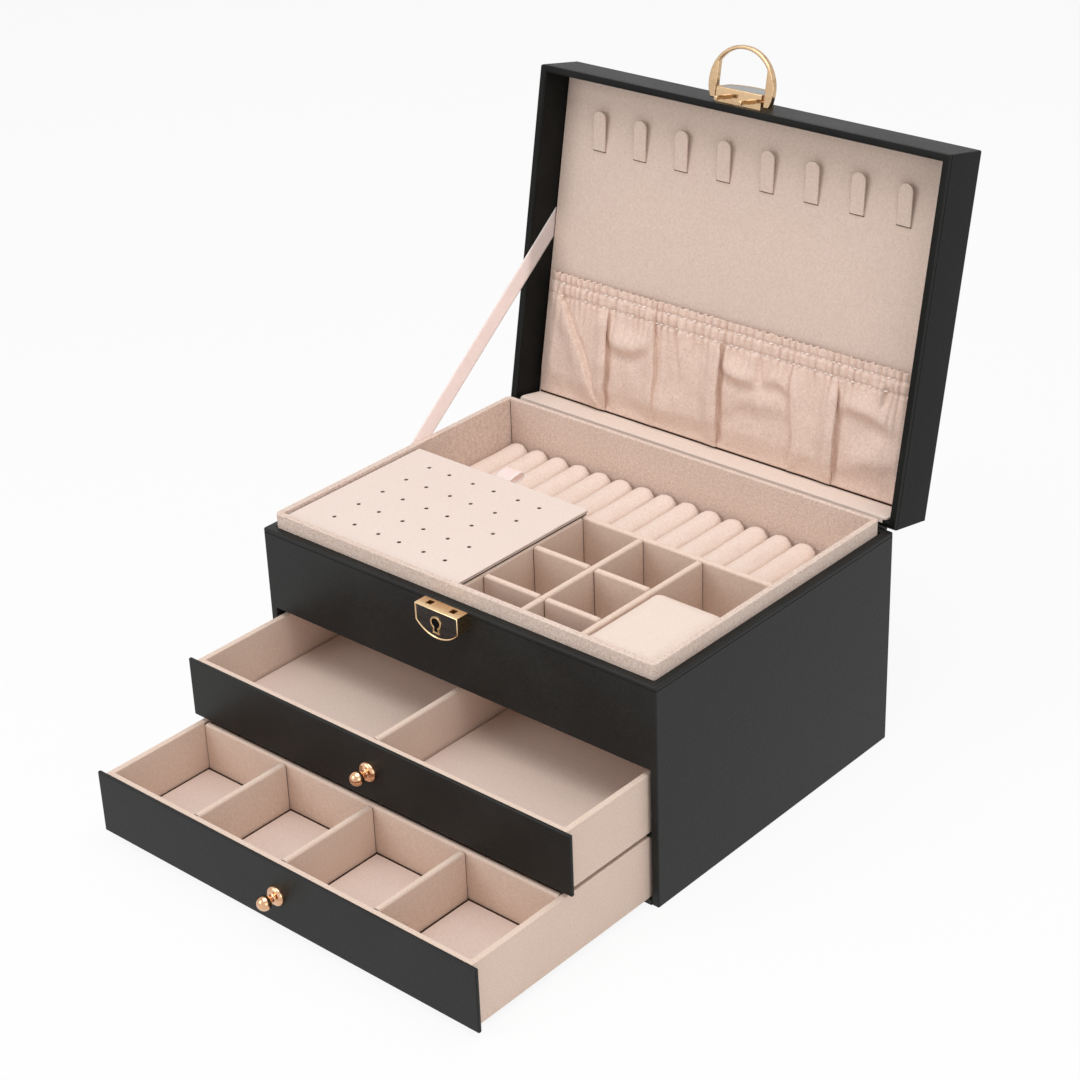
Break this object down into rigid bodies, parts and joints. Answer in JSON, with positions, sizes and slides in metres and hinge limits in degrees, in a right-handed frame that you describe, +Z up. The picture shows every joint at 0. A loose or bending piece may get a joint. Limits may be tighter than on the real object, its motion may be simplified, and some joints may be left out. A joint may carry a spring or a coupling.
{
  "type": "travel jewellery box",
  "caption": "black leatherette jewellery box with hinged lid, lined drawers, ring rolls, pin board and ring handle",
  "frame": {"origin": "middle of the case's flat underside", "axes": "x to the right seen from the front, y from the drawers to the hinge, z up"},
  "size_m": [0.23, 0.3501, 0.3019],
  "materials": {
    "black_leatherette": "fine pebbled grain, satin",
    "velvet_board": "short beige velvet over board",
    "velvet_foam": "short beige velvet over foam",
    "pocket_cloth": "gathered beige velvet",
    "ribbon": "pale satin-edged ribbon",
    "gold_metal": "polished pale gold plate",
    "rose_gold_metal": "polished rose gold plate",
    "black_inlay": "smooth gloss black",
    "board": "dark covered board",
    "bolt_steel": "stamped steel"
  },
  "bodies": {
    "case": {"base_panel": "black_leatherette", "left_panel": "black_leatherette", "right_panel": "black_leatherette", "back_panel": "black_leatherette", "front_rail": "black_leatherette", "drawer_shelf": "board", "tray_floor": "velvet_board", "neck_front": "velvet_board", "neck_back": "velvet_board", "neck_left": "velvet_board", "neck_right": "velvet_board", "ring_partition": "velvet_board", "cell_wall_left": "velvet_board", "cell_wall_middle": "velvet_board", "cell_wall_right": "velvet_board", "cross_wall_back": "velvet_board", "cross_wall_front": "velvet_board", "ring_rolls": "velvet_foam", "lock_case": "gold_metal", "lock_inlay": "black_inlay", "keyhole_rim": "gold_metal", "hinge_bead": "black_leatherette", "stay_ribbon": "ribbon"},
    "lid": {"lid_top": "black_leatherette", "lid_front": "black_leatherette", "lid_back": "black_leatherette", "lid_left": "black_leatherette", "lid_right": "black_leatherette", "lid_lining": "velvet_board", "hinge_liner": "velvet_board", "necklace_hooks": "velvet_board", "pocket_cloth": "pocket_cloth", "pocket_band": "pocket_cloth", "hasp_body": "gold_metal", "hasp_inlay": "black_inlay", "hasp_prongs": "gold_metal", "ring_pins": "gold_metal"},
    "ring": {"ring_handle": "gold_metal"},
    "upper_drawer": {"upper_front": "black_leatherette", "upper_sides": "velvet_board", "upper_inner_front": "velvet_board", "upper_back": "velvet_board", "upper_floor": "velvet_board", "upper_dividers": "velvet_board", "upper_pads": "velvet_foam", "upper_knob": "rose_gold_metal"},
    "lower_drawer": {"lower_front": "black_leatherette", "lower_sides": "velvet_board", "lower_inner_front": "velvet_board", "lower_back": "velvet_board", "lower_floor": "velvet_board", "lower_cross_wall": "velvet_board", "lower_dividers": "velvet_board", "lower_pads": "velvet_foam", "lower_knob": "rose_gold_metal"},
    "board": {"pin_board": "velvet_board", "pin_board_pull": "ribbon"},
    "cushion": {"pillow": "velvet_foam"},
    "bolt": {"lock_bolt": "bolt_steel"}
  },
  "joints": [
    {"name": "lid_hinge", "type": "hinge", "parent": "case", "child": "lid", "pos_m": [0, 0.085, 0.109], "axis": [-1, 0, 0], "range_deg": [-101, 0], "deforming": ["stay_ribbon"]},
    {"name": "ring_swing", "type": "hinge", "parent": "lid", "child": "ring", "pos_m": [0, 0.1237, 0.27873], "axis": [-1, 0, 0], "range_deg": [-90, 90]},
    {"name": "upper_drawer_slide", "type": "slide", "parent": "case", "child": "upper_drawer", "axis": [0, -1, 0], "range_m": [-0.0511, 0.086]},
    {"name": "lower_drawer_slide", "type": "slide", "parent": "case", "child": "lower_drawer", "axis": [0, -1, 0], "range_m": [-0.1088, 0.028]},
    {"name": "pin_board_lift", "type": "slide", "parent": "case", "child": "board", "axis": [0, 0, 1], "range_m": [0, 0.06]},
    {"name": "pillow_lift", "type": "slide", "parent": "case", "child": "cushion", "axis": [0, 0, 1], "range_m": [0, 0.06]},
    {"name": "lock_bolt_slide", "type": "slide", "parent": "case", "child": "bolt", "axis": [-1, 0, 0], "range_m": [0, 0.0009]}
  ]
}
